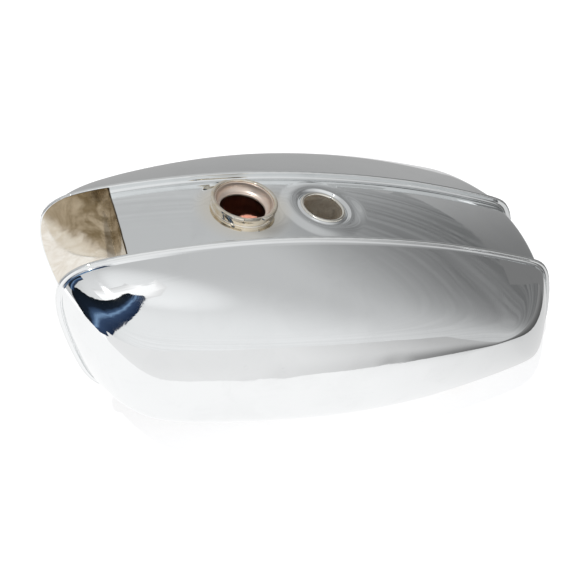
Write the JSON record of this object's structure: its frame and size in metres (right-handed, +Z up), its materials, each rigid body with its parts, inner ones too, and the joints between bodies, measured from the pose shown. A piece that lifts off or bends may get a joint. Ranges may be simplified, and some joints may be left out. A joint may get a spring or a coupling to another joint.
{
  "type": "motorcycle fuel tank",
  "caption": "Chrome-plated saddle fuel tank: twin lobes over a frame tunnel, with a bayonet filler neck and a tube for a centre mounting bolt.",
  "frame": {"origin": "on the floor plane under the middle of the tank, midway between the nose and the tail; the lowest points of the two weld seams touch the floor plane", "axes": "+X from the nose to the tail, +Y to the rider's right, +Z up"},
  "size_m": [0.503, 0.3098, 0.2376],
  "materials": {
    "bright_chrome": "bright hand-polished chrome plate with a faint brushed haze",
    "warm_nickel": "thin chrome over warm nickel, satin in the corners",
    "tunnel_steel": "dull plated steel with no polish",
    "solid_brass": "turned brass"
  },
  "bodies": {
    "root": {"left_side_pressing": "bright_chrome", "right_side_pressing": "bright_chrome", "top_panel": "bright_chrome", "tail_panel": "bright_chrome", "tunnel_pressing": "tunnel_steel", "left_head_cheek": "warm_nickel", "right_head_cheek": "warm_nickel", "head_closing_plate": "warm_nickel", "left_seam_bead": "bright_chrome", "right_seam_bead": "bright_chrome", "filler_neck": "warm_nickel", "filler_throat": "warm_nickel", "filler_solder_fillet": "warm_nickel", "mounting_tube": "warm_nickel", "tube_collar": "warm_nickel", "bolt_seat": "tunnel_steel", "left_tap_boss": "solid_brass", "right_tap_boss": "solid_brass", "left_balance_spigot": "solid_brass", "right_balance_spigot": "solid_brass", "left_tie_boss": "tunnel_steel", "right_tie_boss": "tunnel_steel", "left_badge_bushes": "solid_brass", "right_badge_bushes": "solid_brass"}
  },
  "joints": []
}
